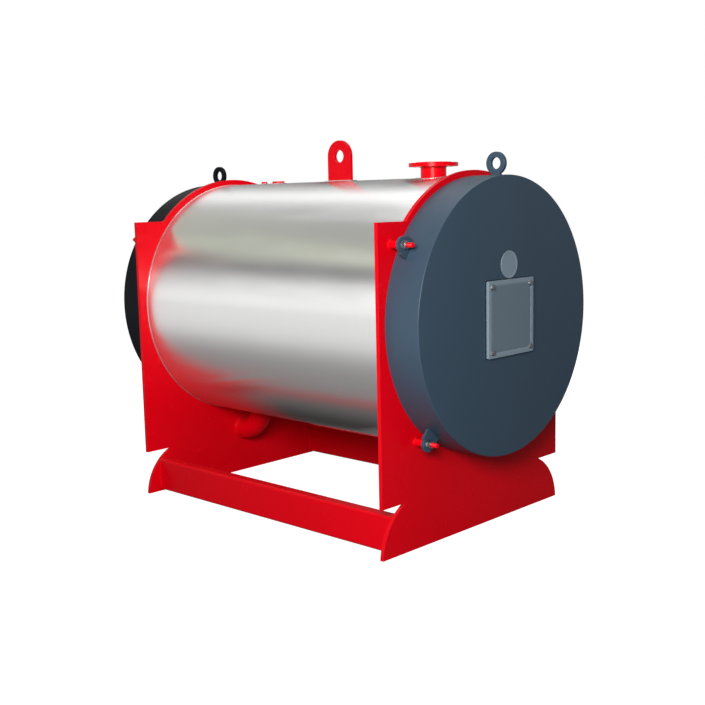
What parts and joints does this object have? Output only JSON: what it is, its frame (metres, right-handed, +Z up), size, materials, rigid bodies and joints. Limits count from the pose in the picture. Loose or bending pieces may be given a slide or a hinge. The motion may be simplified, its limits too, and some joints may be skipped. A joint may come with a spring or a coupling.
{
  "type": "industrial hot water boiler",
  "caption": "Horizontal fire-tube hot water boiler with a steel clad shell between two saddle plates, round clamped doors, flanged connections and lifting lug.",
  "frame": {"origin": "on the floor, in the middle of the overall width and length", "axes": "+Z up, +Y along the boiler axis from the burner door to the flue outlet, +X to the right of someone facing the burner door"},
  "size_m": [1.27, 2.108, 1.745],
  "materials": {
    "red_paint": "satin red enamel on welded plate",
    "cladding": "bright rolled stainless sheet",
    "door_paint": "satin anthracite paint",
    "black_paint": "matt black heat resistant paint",
    "plate_grey": "satin grey paint",
    "zinc_plated": "zinc plated fasteners",
    "insulation": "ceramic fibre, hidden in the doors"
  },
  "bodies": {
    "root": {"burner_plate": "plate_grey", "burner_plate_bolts": "zinc_plated", "flue_spigot": "black_paint", "front_door_eye": "door_paint", "front_door_face": "door_paint", "front_door_lining": "insulation", "front_door_rim": "door_paint", "front_ear_1": "door_paint", "front_ear_2": "door_paint", "front_ear_3": "door_paint", "front_ear_4": "door_paint", "front_nut_1": "zinc_plated", "front_nut_2": "zinc_plated", "front_nut_3": "zinc_plated", "front_nut_4": "zinc_plated", "front_studs": "red_paint", "front_tube_plate": "red_paint", "jacket": "cladding", "left_rail": "red_paint", "lifting_lug": "red_paint", "lug_collar": "cladding", "pressure_shell": "red_paint", "rear_door_eye": "black_paint", "rear_door_face": "black_paint", "rear_door_lining": "insulation", "rear_door_rim": "black_paint", "rear_ear_1": "black_paint", "rear_ear_2": "black_paint", "rear_ear_3": "black_paint", "rear_ear_4": "black_paint", "rear_nut_1": "zinc_plated", "rear_nut_2": "zinc_plated", "rear_nut_3": "zinc_plated", "rear_nut_4": "zinc_plated", "rear_studs": "red_paint", "rear_tube_plate": "red_paint", "return_flange": "red_paint", "return_pipe": "red_paint", "right_rail": "red_paint", "safety_socket": "red_paint", "sight_cover": "plate_grey", "supply_flange": "red_paint", "supply_neck": "red_paint", "vent_socket": "red_paint"}
  },
  "joints": []
}
